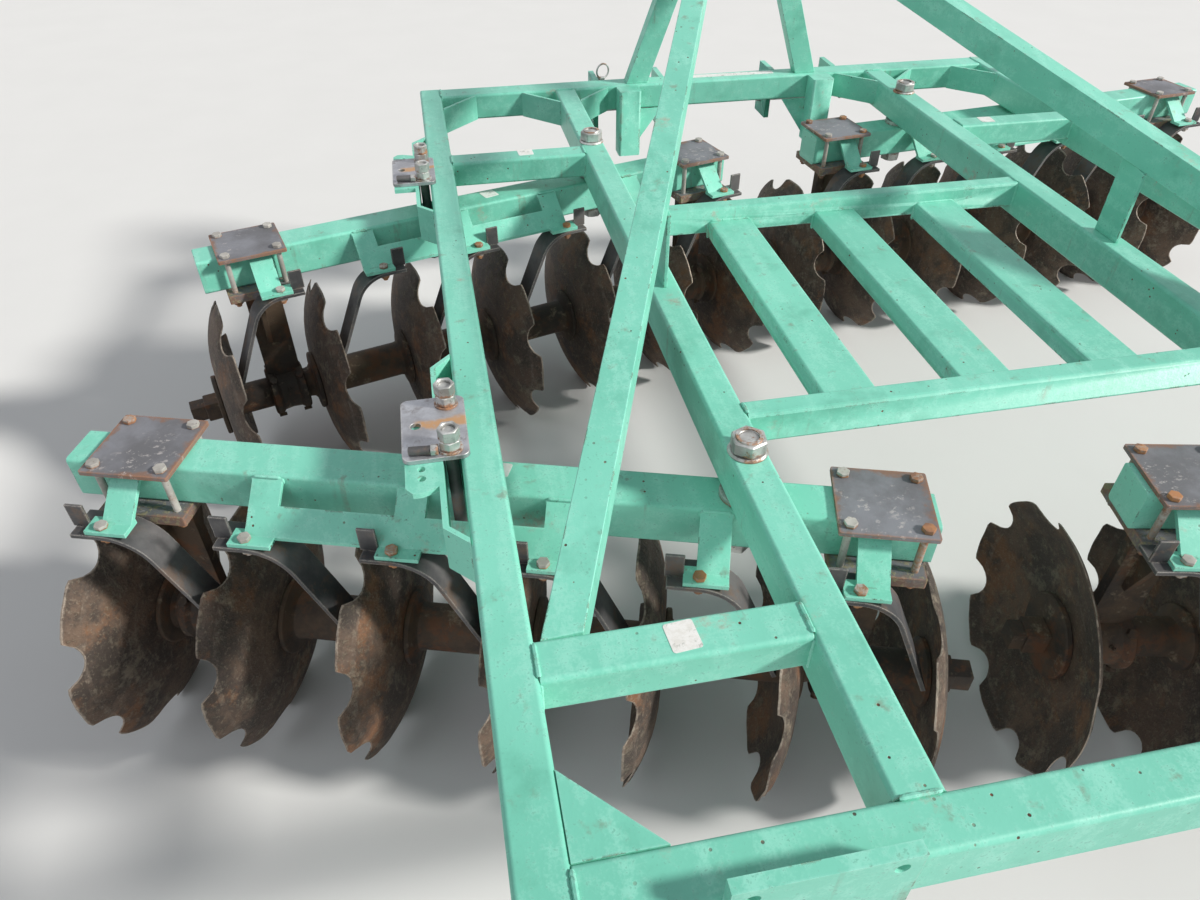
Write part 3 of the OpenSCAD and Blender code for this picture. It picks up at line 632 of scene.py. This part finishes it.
def frame_welds():
    """Beads of the tubes and the ladder's bars, and three runs over each other at one corner.

    That corner is the right rear one; the left one has none of its own.
    """
    welds = []
    outer = OUTER_X - BEAM_W / 2
    for side in (-1, 1):
        for back in CROSS_BACK:
            for across in (outer, INNER_X + BEAM_W / 2):
                welds += tube_welds(side * across, -back, CROSS_SIDE / 2, FRAME_TOP - CROSS_SIDE)
        for back in RUNG_BACK:
            inner = side * (INNER_X - BEAM_W / 2)
            welds += tube_welds(inner, -back, RUNG_W / 2, FRAME_TOP - RUNG_H)
        welds += tube_welds(side * outer, 0, FRONT_SIDE / 2, FRAME_TOP - FRONT_SIDE)
        welds += tube_welds(side * outer, -FRAME_LENGTH, BEAM_W / 2, FRAME_BOTTOM)
        for ahead in (-FRONT_SIDE / 2, -FRAME_LENGTH + BEAM_W / 2):
            welds += tube_welds(side * INNER_X, ahead, BEAM_W / 2, FRAME_BOTTOM, "X")
    top = FRAME_TOP - BAR_DROP
    corner = at(outer, -FRAME_LENGTH + BEAM_W / 2, FRAME_TOP).translation
    right, ahead = Vector((1, 0, 0)), Vector((0, 1, 0))
    for n in (-1, 0, 1):
        sides = [n * BAR_PITCH + sign * BAR_W / 2 for sign in (-1, 1)]
        for back in (RUNG_BACK[0] + RUNG_W / 2, RUNG_BACK[1] - RUNG_W / 2):
            welds.append(seam(at(sides[0] + TUBE_R, -back, top),
                              at(sides[1] - TUBE_R, -back, top)))
            for across in sides:
                welds.append(seam(at(across, -back, top - BAR_H), at(across, -back, top - TUBE_R)))
        welds += [seam(corner + REAR_SEAM * ahead, corner, REAR_SEAM_R),
                  seam(corner, corner + (right - ahead) * (BEAM_W - TUBE_R), MITRE_SEAM_R)]
    return welds


piece("frame_welds", "frame", frame_welds(), GREEN, "green_paint")

# Pivot nuts stand on thick washers, each with a raised ring round the sunk end of its bolt
NUT_H, WASHER_T, THREAD_SUNK, THREAD_BELOW = 23, 5, 1, 33
THREAD_L = FRAME_TOP + WASHER_T + NUT_H - THREAD_SUNK - GANG_BOTTOM + THREAD_BELOW
PIVOT_WASHER = lathe([(15, 0), (31, 0), (31, 2), (28, WASHER_T), (15, WASHER_T)], 40, 0.5)
PIVOT_NUT = nut(50, NUT_H, 15.2)
PIVOT_RING = lathe([(15.2, 0), (21.5, 0), (20.5, 2), (15.2, 2)], 40, 0.4)
PIVOT_THREAD = rod(15, THREAD_L, 1.6)
SPACER = lathe([(15.6, 0), (35, 0), (35, 9.7), (15.6, 9.7)], 48, 0.6)
pivots = []
for side, back, *_ in GANGS.values():
    here = at(side * INNER_X, -back, 0)
    spin = turned("Z", draw.uniform(0, 60))
    above = here @ moved(z=FRAME_TOP)
    below = here @ turned("X", 180) @ moved(z=SEAT - GANG_BOTTOM)
    for face in (above, below):
        pivots += [(PIVOT_WASHER, face), (PIVOT_NUT, face @ spin @ moved(z=WASHER_T)),
                   (PIVOT_RING, face @ moved(z=WASHER_T + NUT_H))]
    pivots += [(PIVOT_THREAD, here @ moved(z=GANG_BOTTOM - THREAD_BELOW)),
               (SPACER, here @ moved(z=GANG_TOP + SEAT))]
piece("pivot_nuts", "frame", pivots, NUT, "zinc", "pivot_bolts")

PIN_R, PIN_COLLAR, PIN_Z, PIN_AHEAD = 14, 21, 650, 90
LUG_IN, LUG_OUT, PIN_FREE = 156.5, 389.5, 75
PIN_L, COLLAR_T, PIN_TAPER = LUG_OUT - LUG_IN, 10, 8
HITCH_PIN = lathe([(0, 0), (PIN_R - 2, 0), (PIN_R, 2), (PIN_R, PIN_L), (PIN_COLLAR - 1, PIN_L),
                   (PIN_COLLAR, PIN_L + 1), (PIN_COLLAR, PIN_L + COLLAR_T - 1),
                   (PIN_COLLAR - 1, PIN_L + COLLAR_T), (PIN_R, PIN_L + COLLAR_T),
                   (PIN_R, PIN_L + PIN_FREE - PIN_TAPER), (PIN_R - 5, PIN_L + PIN_FREE),
                   (0, PIN_L + PIN_FREE)], 40)
piece("hitch_pins_turned", "frame",
      [(HITCH_PIN, at(side * LUG_IN, PIN_AHEAD, PIN_Z) @ turned("Y", side * 90))
       for side in (-1, 1)],
      NUT, "zinc", "hitch_pins")

LINCH_RING, LINCH_L = ring(21, 2.6), 44
LINCH_PIN, LINCH_CROSS = rod(5, LINCH_L, 1.4, segments=16), rod(5.5, 46, 1.2, segments=16)
linches = [(LINCH_CROSS, at(-390, 92, 736) @ turned("Y", 90)),
           (LINCH_RING, at(-350, 92, 757) @ turned("Z", 20) @ turned("X", 90))]
for side in (-1, 1):
    tip = at(side * (LUG_OUT + PIN_FREE - 14), PIN_AHEAD, PIN_Z)
    linches += [(LINCH_PIN, tip @ moved(z=-LINCH_L / 2)),
                (LINCH_RING, tip @ turned("X", 90) @ moved(y=LINCH_L / 2))]
piece("linch_pins", "frame", linches, NUT, "zinc")

LABEL_T = 0.6


def label(where, along, across):
    """A blank sticker lying on a top face."""
    return plate(centred(along, across), LABEL_T, corner=4, round_off=0.15), where


# Stickers: place, turn in degrees, length and width
STICKER = 38
FRAME_STICKERS = [(-666, -494, 3, STICKER, STICKER), (604, -500, -4, STICKER, STICKER),
                  (-674, -2030, 5, STICKER, STICKER + 6), (40, 8, -1, 262, 26)]
GANG_STICKERS = {1: (-1, 10, 8, STICKER, STICKER), 4: (-4, 16, -6, 32, 32)}
piece("frame_labels", "frame",
      [label(at(x, y, FRAME_TOP) @ turned("Z", turn), along, across)
       for x, y, turn, along, across in FRAME_STICKERS], LABEL, "green_paint")
for k, (x, y, turn, along, across) in GANG_STICKERS.items():
    spot = beside(k) @ moved(x, y, GANG_TOP) @ turned("Z", turn)
    piece(f"gang_{k}_label", f"gang_{k}", [label(spot, along, across)], LABEL, "green_paint")

# Gangs: beams, clamp plates and bolts, bearings, brackets and scrapers
CLAMP_AF, CLAMP_NUT_H, CLAMP_OUT = 19, 10, 16
PLATE_OUTLINE = centred(PLATE_SIDE, PLATE_SIDE)
UPPER_PLATE = plate(PLATE_OUTLINE, PLATE_T, corner=4)
LOWER_PLATE = plate(PLATE_OUTLINE, LOW_PLATE_T, corner=3, round_off=1.4)
CLAMP_HEAD = plate(hexagon(CLAMP_AF), 8, round_off=1.2)
CLAMP_REACH = GANG_SIDE + PLATE_T + LOW_PLATE_T
CLAMP_SHANK = rod(6, CLAMP_REACH + CLAMP_OUT, 0.9, segments=20)
CLAMP_NUT = nut(CLAMP_AF, CLAMP_NUT_H, 6.2)
HOUSING_L, LEG_UP, GUSSET_H, GUSSET_T = 90, 50, 150, 12
HOUSING = lathe([(38.4, 0), (57, 0), (62, 4), (62, 16), (54, 24), (52, 45), (54, 66), (62, 74),
                 (62, 86), (57, HOUSING_L), (38.4, HOUSING_L)], 56, 0.8)
LEG = block(80, 24, GANG_BOTTOM - LOW_PLATE_T - AXLE - LEG_UP, 2)
GUSSET = plate([(0, 0), (0, GUSSET_H), (58, GUSSET_H), (58, GUSSET_H - 18), (12, 0)], GUSSET_T,
               corner=2)
CAP_SCREW_X, CAP_SCREW_OUT, CAP_SCREW_TURNS = 32, 60, (35, 145, 215, 325)
CAP_SCREW = plate(hexagon(17), 9, round_off=0.9)
NIPPLE_OUT, NIPPLE_TURN = 51, 62
NIPPLE = lathe([(0, 0), (5, 0), (5, 4), (3, 5), (3, 9), (4, 11), (2.5, 14), (0, 14)], 16)


def hanger_parts(k):
    """Clamp plates, their bolts, and the bearings below them, at both hangers of a gang."""
    plates, bolts, bearings = [], [], []
    reach, low = PLATE_SIDE / 2 - BOLT_IN, GANG_BOTTOM - LOW_PLATE_T
    for side in (-1, 1):
        here = beside(k) @ moved(side * HANGER_X)
        plates += [(UPPER_PLATE, here @ moved(z=GANG_TOP)), (LOWER_PLATE, here @ moved(z=low))]
        for x in (-reach, reach):
            for y in (-reach, reach):
                spot = here @ moved(x, y) @ turned("Z", draw.uniform(0, 60))
                bolts += [(CLAMP_HEAD, spot @ moved(z=GANG_TOP + PLATE_T)),
                          (CLAMP_SHANK, spot @ moved(z=low - CLAMP_OUT)),
                          (CLAMP_NUT, spot @ moved(z=low - CLAMP_NUT_H))]
        bearings += [(LEG, here @ moved(z=AXLE + LEG_UP)),
                     (HOUSING, here @ moved(-HOUSING_L / 2, 0, AXLE) @ turned("Y", 90))]
        for turn in (0, 180):
            foot = here @ turned("Z", turn) @ moved(GUSSET_T / 2, 12, low - GUSSET_H)
            bearings.append((GUSSET, foot @ turned("Z", 90) @ turned("X", 90)))
        for x in (-CAP_SCREW_X, CAP_SCREW_X):
            for angle in CAP_SCREW_TURNS:
                spot = turned("X", angle) @ moved(z=CAP_SCREW_OUT)
                bearings.append((CAP_SCREW, here @ moved(x, 0, AXLE) @ spot))
        bearings.append((NIPPLE, here @ moved(0, 0, AXLE) @ turned("X", NIPPLE_TURN)
                         @ moved(z=NIPPLE_OUT)))
    return plates, bolts, bearings


MOVED_BRACKET, MOVED_BY = (3, 2), 60


def station(k, n):
    """X of a scraper's bracket; one bracket of gang 3 stands aside of the lock's bolts."""
    return hub_x(n) - STATION_BACK - (MOVED_BY if (k, n) == MOVED_BRACKET else 0)


BRACKET_HALF, BRACKET_TOP_HALF, BRACKET_TOP = 25, 22, 657
BRACKET_SEAM, BRACKET_SEAM_R = (645, 655), 3


def bracket_welds(k, x):
    """Beads up the two sides of a scraper's bracket and along its top."""
    welds = []
    for sign in (-1, 1):
        face = facing(k) @ moved(x + sign * BRACKET_HALF, -GANG_SIDE / 2, 0)
        ends = (face @ moved(0, -1, up) for up in BRACKET_SEAM)
        welds.append(seam(*ends, BRACKET_SEAM_R))
    ends = (facing(k) @ moved(x + sign * BRACKET_TOP_HALF, -GANG_SIDE / 2 - 1, BRACKET_TOP)
            for sign in (-1, 1))
    welds.append(seam(*ends, BRACKET_SEAM_R))
    return welds


TAB, TAB_X, TAB_Y = block(30, 5, 46, 1.2), -59, -113
FOOT_BOLT_X, FOOT_BOLT_Y, FOOT_T, BLADE_T = -20, -121, 8, 8
FOOT_SHANK = rod(6, 34, 0.9, segments=16)
for k in GANGS:
    body = f"gang_{k}"
    plates, bolts, bearings = hanger_parts(k)
    piece(f"gang_{k}_clamp_plates", body, plates, PLATE, "rusty_plate", f"gang_{k}_hangers")
    piece(f"gang_{k}_clamp_bolts", body, bolts, BOLT, "zinc")
    piece(f"gang_{k}_bearings", body, bearings, SPOOL, "rusty_plate")
    piece(f"gang_{k}_beam_steel", body, [(softened(f"gang_{k}_beam", 2.5), Matrix())], GREEN,
          "green_paint", f"gang_{k}_beam")
    brackets = [(softened(f"gang_{k}_brackets", 1.2), Matrix())]
    scrapers = [(softened(f"gang_{k}_scrapers", 1.0), Matrix())]
    foot_bolts = []
    for n in range(DISC_COUNT - 1):
        x = station(k, n)
        scrapers.append((TAB, facing(k) @ moved(x + TAB_X, TAB_Y, BRACKET_Z)))
        spot = facing(k) @ moved(x + FOOT_BOLT_X, FOOT_BOLT_Y, BRACKET_Z)
        spin = turned("Z", draw.uniform(0, 60))
        foot_bolts += [(CLAMP_HEAD, spot @ moved(z=FOOT_T) @ spin),
                       (CLAMP_NUT, spot @ moved(z=-BLADE_T - CLAMP_NUT_H)),
                       (FOOT_SHANK, spot @ moved(z=-BLADE_T - CLAMP_OUT))]
        brackets += bracket_welds(k, x)
    piece(f"gang_{k}_bracket_steel", body, brackets, GREEN, "green_paint", f"gang_{k}_brackets")
    piece(f"gang_{k}_blades", body, scrapers, BLADE, "spring_steel", f"gang_{k}_scrapers")
    piece(f"gang_{k}_foot_bolts", body, foot_bolts, BOLT, "zinc")

# Locks: adjuster plates, tall nuts, washers and the stop bar beside the rear nut; the bolts' shanks
# and heads are dark steel as painted shade
ADJUSTER_IN, ADJUSTER_OUT, ADJUSTER_HALF = 28, 72, 75
LOCK_LOW = GANG_BOTTOM - SEAT - LOCK_T
LOCK_HIGH = FRAME_TOP + SEAT + LOCK_T
LOCK_BOLTS = (-LOCK_PITCH / 2, LOCK_PITCH / 2)
LOCK_NUT_AF, LOCK_NUT_T, LOCK_NUT_H, LOCK_WASHER_T = 30, 20, 40, 3
LOCK_HEAD_H, LOCK_HEAD_AF, LOCK_R, LOCK_HOLE, LOCK_BORE = 13, 26, 10, 10.5, 10.4
ADJUSTER = plate(rectangle(-ADJUSTER_IN, ADJUSTER_OUT, -ADJUSTER_HALF, ADJUSTER_HALF), LOCK_T,
                 [(50, 6, 8), (0, LOCK_BOLTS[1], LOCK_HOLE), (0, LOCK_BOLTS[0], LOCK_HOLE)],
                 corner=12)
LOCK_PLATE = plate(centred(60, 140), LOCK_T, corner=14)
LOCK_WASHER = lathe([(LOCK_HOLE, 0), (19, 0), (19, LOCK_WASHER_T), (LOCK_HOLE, LOCK_WASHER_T)],
                    36, 0.4)
LOCK_NUT = nut(LOCK_NUT_AF, LOCK_NUT_T, LOCK_BORE)
JAM_NUT = nut(LOCK_NUT_AF, LOCK_NUT_H - LOCK_NUT_T - LOCK_WASHER_T, LOCK_BORE)
LOCK_HEAD = plate(hexagon(LOCK_HEAD_AF), LOCK_HEAD_H, round_off=1.4)
LOCK_SHANK = rod(LOCK_R, LOCK_HIGH - LOCK_LOW + LOCK_HEAD_H, 1.5)
THREAD_END, THREAD_DOWN = rod(LOCK_R, 7, 1.5), 12
STOP_BAR, STOP_END = rod(7, 34, 2.0), plate(hexagon(16), 11, round_off=1.0)
STOP_X, STOP_BEHIND, STOP_UP = 18, 9, 7.5
for k in GANGS:
    here = lock_place(k)
    plates = [(ADJUSTER, here @ moved(z=LOCK_HIGH - LOCK_T)),
              (LOCK_PLATE, here @ moved(z=LOCK_LOW))]
    bolts, dark = [], []
    for y in LOCK_BOLTS:
        spot = here @ moved(0, y) @ turned("Z", draw.uniform(0, 60))
        nut_top = LOCK_HIGH + LOCK_NUT_H
        bolts += [(LOCK_WASHER, spot @ moved(z=LOCK_HIGH)),
                  (JAM_NUT, spot @ moved(z=LOCK_HIGH + LOCK_WASHER_T)),
                  (LOCK_NUT, spot @ turned("Z", 22) @ moved(z=nut_top - LOCK_NUT_T)),
                  (THREAD_END, spot @ moved(z=nut_top - THREAD_DOWN))]
        # painted shade: the lock bolts' heads and shanks get the dark blade steel, standing for the
        # shade of the gap they stand in
        dark += [(LOCK_HEAD, spot @ moved(z=LOCK_LOW - LOCK_HEAD_H)),
                 (LOCK_SHANK, spot @ moved(z=LOCK_LOW - LOCK_HEAD_H + 2))]
    bar = (here @ moved(STOP_X, LOCK_BOLTS[0] - STOP_BEHIND, LOCK_HIGH + STOP_UP)
           @ turned("Z", 5) @ turned("Y", 90))
    piece(f"lock_{k}_plates", f"lock_{k}", plates, ZINC, "zinc", f"lock_{k}")
    piece(f"lock_{k}_nuts", f"lock_{k}", bolts + [(STOP_END, bar)], NUT, "zinc")
    dark.append((STOP_BAR, bar @ moved(z=10)))
    piece(f"lock_{k}_shade_dark_shanks_and_stop_bar", f"lock_{k}", dark, BLADE, "spring_steel")


# Discs: dished, notched and worn, and the castings between them
HELD_R, THIN_R, THIN, WORN_R = 150, 245, 0.55, 205


def disc():
    """One disc: a dished ring spun round Z, its rim drawn in to the notches.

    The attribute "rings" keeps how far a point is from the axle and how near to the rim.
    """
    radii = [28, 60, FLAT_R, 112, 138, 164, 190, 212, 230, 242, 249, DISC_R]
    curve = ((DISC_R - FLAT_R) ** 2 + DISH ** 2) / (2 * DISH)

    def dished(r):
        return curve - math.sqrt(curve ** 2 - max(0.0, r - FLAT_R) ** 2)

    bm = turned_section([(r, dished(r)) for r in radii]
                        + [(r, dished(r) - DISC_T) for r in reversed(radii)], 144)
    closed(bm)
    wear = bm.verts.layers.float_vector.new("rings")
    centre, pitch = DISC_R + NOTCH_R - NOTCH_DEPTH, math.tau / NOTCHES
    for v in bm.verts:
        r, turn = math.hypot(v.co.x, v.co.y), math.atan2(v.co.y, v.co.x)
        off = (turn % pitch) - pitch / 2
        inside = NOTCH_R ** 2 - (centre * math.sin(off)) ** 2
        rim = DISC_R
        if inside > 0:
            rim = min(DISC_R, centre * math.cos(off) - math.sqrt(inside))
        rim -= 1.1 * math.sin(5 * turn) ** 2 + 0.8 * math.sin(13 * turn + 1) ** 2
        thin = 1.0 if r < THIN_R else THIN
        behind = v.co.z < dished(r) - 1
        if r > HELD_R:
            drawn = HELD_R + (r - HELD_R) * (rim - HELD_R) / (DISC_R - HELD_R)
            v.co.x, v.co.y = drawn * math.cos(turn), drawn * math.sin(turn)
            v.co.z = dished(drawn) - (DISC_T * thin if behind else 0)
        reach = min(1.0, max(0.0, (r - WORN_R) / (DISC_R - WORN_R)))
        v[wear] = (math.hypot(v.co.x, v.co.y) / 1000, reach ** 2, 0)
    return as_mesh(bm)


AXLE_SQUARE, AXLE_NUT_L, BORE = 40, 45, 20.5
END_OUT, END_T = 70, 14


def spool(hub, long):
    """Casting between two discs: a wide flange behind one and a narrower one before the next."""
    return lathe([(BORE, 0), (72, 0), (75, 3), (75, 10), (72, 12), (hub + 10, 14), (hub + 2, 20),
                  (hub, 28), (hub, long - 28), (hub + 2, long - 20), (60, long - 12),
                  (63, long - 9), (63, long - 2), (60, long), (BORE, long)], 48)


NOTCHED = disc()
SPOOL_L = DISC_PITCH - DISC_T
PLAIN_SPOOL, JOURNAL = spool(45, SPOOL_L), spool(38, SPOOL_L)
BACK_PLATE = lathe([(BORE, 0), (73, 0), (76, 3), (76, 10), (74, 12), (BORE, 12)], 48)
END_PLATE = lathe([(BORE, 0), (79, 0), (82, 3), (82, 11), (79, END_T), (BORE, END_T)], 56)
AXLE_NUT = block(50, 50, AXLE_NUT_L, 3)
FIRST_HUB, LAST_HUB = hub_x(DISC_COUNT - 1), hub_x(0)
AXLE_BAR = block(AXLE_SQUARE, AXLE_SQUARE, LAST_HUB - FIRST_HUB + 2 * END_T + 2 * END_OUT, 2)
for k in GANGS:
    discs, castings = [], []
    for n in range(DISC_COUNT):
        hub = facing(k) @ moved(hub_x(n), 0, AXLE)
        discs.append((NOTCHED, hub @ turned("Y", -90)))
        if n:
            shape = JOURNAL if n in (1, DISC_COUNT - 1) else PLAIN_SPOOL
            castings.append((shape, hub @ moved(DISC_T) @ turned("Y", 90)))
    ends = facing(k) @ moved(0, 0, AXLE)
    castings += [(shape, ends @ moved(x) @ turned("Y", 90)) for shape, x in (
        (BACK_PLATE, LAST_HUB + DISC_T), (AXLE_NUT, LAST_HUB + DISC_T),
        (END_PLATE, FIRST_HUB - END_T), (AXLE_BAR, FIRST_HUB - END_T - END_OUT),
        (AXLE_NUT, FIRST_HUB - END_T - AXLE_NUT_L))]
    piece(f"axle_{k}_notched_discs", f"axle_{k}", discs, DISC, "disc_steel", f"axle_{k}_discs")
    piece(f"axle_{k}_castings", f"axle_{k}", castings, SPOOL, "spool_iron", f"axle_{k}_spools")


# Floor, light and camera
def floor_shade():
    pale = blend(tint(0.72, 0.72, 0.71), tint(0.76, 0.76, 0.75), cloud(place(), 3, 3))
    return dict(Base_Color=pale, Roughness=0.9)


FLOOR_SIZE, FLOOR_Z = 80, -0.0005
ROOM_LIT, ROOM_SEEN = 0.36, 0.86
bpy.ops.mesh.primitive_plane_add(size=FLOOR_SIZE, location=(0, 0, FLOOR_Z))
floor = bpy.context.object
floor.name = "floor"
floor.data.materials.append(finish("floor", floor_shade))

world = bpy.data.worlds.new("pale_room")
bpy.context.scene.world = world
world.use_nodes = True
world.node_tree.nodes.clear()
Tone.tree = world.node_tree
seen = Tone.node("ShaderNodeLightPath").maths("MAXIMUM", Tone.node("ShaderNodeLightPath", out=3))
room = Tone.node("ShaderNodeBackground", Color=tint(0.93, 0.95, 1.0),
                 Strength=between(ROOM_LIT, ROOM_SEEN, seen))
Tone.node("ShaderNodeOutputWorld", Surface=room)


def sun(name, spot, softness, power, colour):
    """A distant lamp that shines from a direction on everything alike."""
    light = bpy.data.lights.new(name, "SUN")
    light.angle, light.energy, light.color = math.radians(softness), power, colour
    holder = bpy.data.objects.new(name, light)
    bpy.context.collection.objects.link(holder)
    holder.location = spot
    holder.rotation_euler = Vector(spot).to_track_quat("Z", "Y").to_euler()


sun("key", (6.2, -2.7, 4.1), 7, 4.1, (1.0, 0.97, 0.92))
sun("fill", (-4.0, -3.5, 5.0), 40, 0.35, (0.90, 0.95, 1.0))

camera = bpy.data.objects.new("camera", bpy.data.cameras.new("camera"))
bpy.context.collection.objects.link(camera)
camera.location = (-0.903, -1.5467, 1.590)
camera.rotation_euler = tuple(math.radians(a) for a in (49.704, -0.08, -11.114))
camera.data.sensor_width, camera.data.lens = 36, 25.93
bpy.context.scene.camera = camera
bpy.context.scene.view_settings.view_transform = "Standard"
